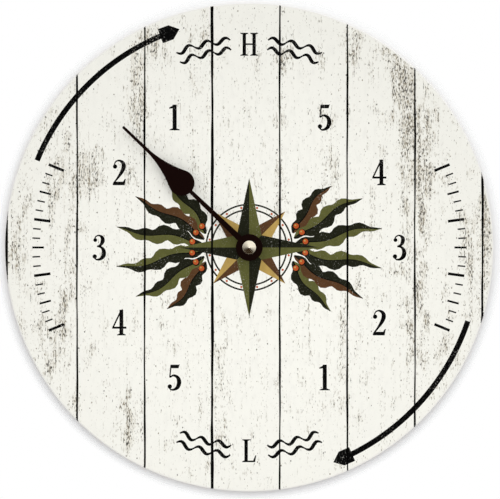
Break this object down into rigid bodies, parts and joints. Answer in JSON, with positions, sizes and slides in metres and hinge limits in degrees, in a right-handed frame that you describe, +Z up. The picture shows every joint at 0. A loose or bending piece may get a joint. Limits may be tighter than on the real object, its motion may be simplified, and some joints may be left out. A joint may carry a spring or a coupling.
{
  "type": "tide clock",
  "caption": "Round wall tide clock: whitewashed plank dial with a black spade hand, on a geared battery movement with a setting knob, battery bay and hanging loop.",
  "frame": {"origin": "on the axis of the hand's shaft, in the plane of the wall", "axes": "+Z up, +X to the reader's right, -Y out of the dial towards the reader, +Y into the wall"},
  "size_m": [0.2666, 0.0319, 0.2666],
  "materials": {
    "board_paint": "matte",
    "hand_black": "satin",
    "cap_metal": "polished",
    "case_plastic": "satin",
    "cover_plastic": "matte",
    "knob_plastic": "satin",
    "loop_plastic": "matte",
    "gear_plastic": "satin",
    "plain_brass": "satin",
    "spring_steel": "satin",
    "soft_iron": "satin",
    "magnet": "matte",
    "copper_wire": "gloss",
    "bobbin_plastic": "satin",
    "circuit_green": "satin",
    "resin": "satin",
    "crystal_can": "polished",
    "gasket_rubber": "matte",
    "cell_jacket": "gloss"
  },
  "bodies": {
    "clock": {"dial_board": "board_paint", "movement_case": "case_plastic", "rear_cover": "cover_plastic", "hanger_loop": "loop_plastic", "dial_gasket": "gasket_rubber", "dial_washer": "plain_brass", "dial_nut": "plain_brass", "train_bridge": "bobbin_plastic", "circuit_board": "circuit_green", "chip_cover": "resin", "quartz_crystal": "crystal_can", "contact_plus": "spring_steel", "contact_minus": "spring_steel", "stator_plate": "soft_iron", "coil_core": "soft_iron", "coil_bobbin": "bobbin_plastic", "coil_winding": "copper_wire"},
    "tide_hand": {"tide_hand": "hand_black", "hand_collet": "plain_brass", "cap_nut": "cap_metal", "tide_arbor": "plain_brass", "tide_wheel": "gear_plastic", "clutch_spring": "spring_steel"},
    "clutch_wheel": {"clutch_wheel": "gear_plastic"},
    "slow_wheel": {"slow_wheel": "gear_plastic"},
    "fast_wheel": {"fast_wheel": "gear_plastic"},
    "rotor": {"rotor_pinion": "gear_plastic", "rotor_magnet": "magnet"},
    "set_knob": {"set_knob": "knob_plastic", "set_wheel": "gear_plastic"},
    "battery": {"battery": "cell_jacket"}
  },
  "joints": [
    {"name": "hand_turn", "type": "hinge", "parent": "clock", "child": "tide_hand", "pos_m": [0, 0, 0], "axis": [0, 1, 0], "continuous": true},
    {"name": "knob_turn", "type": "hinge", "parent": "clock", "child": "set_knob", "pos_m": [0.01141, 0, -0.00371], "axis": [0, 1, 0], "continuous": true},
    {"name": "fast_wheel_turn", "type": "hinge", "parent": "clock", "child": "fast_wheel", "pos_m": [-0.00241, 0, 0.01367], "axis": [0, 1, 0], "continuous": true},
    {"name": "rotor_turn", "type": "hinge", "parent": "clock", "child": "rotor", "pos_m": [-0.01256, 0, 0.00998], "axis": [0, 1, 0], "continuous": true},
    {"name": "slow_wheel_turn", "type": "hinge", "parent": "clock", "child": "slow_wheel", "pos_m": [0.00694, 0, 0.00827], "axis": [0, 1, 0], "continuous": true},
    {"name": "clutch_wheel_turn", "type": "hinge", "parent": "clock", "child": "clutch_wheel", "pos_m": [0, 0, 0], "axis": [0, 1, 0], "continuous": true},
    {"name": "battery_lift", "type": "slide", "parent": "clock", "child": "battery", "axis": [0, 1, 0], "range_m": [0, 0.02]}
  ],
  "couplings": [
    {"joint": "knob_turn", "follows": "hand_turn", "ratio": -3},
    {"joint": "rotor_turn", "follows": "fast_wheel_turn", "ratio": -8},
    {"joint": "slow_wheel_turn", "follows": "fast_wheel_turn", "ratio": -0.125},
    {"joint": "clutch_wheel_turn", "follows": "fast_wheel_turn", "ratio": 0.015625}
  ]
}
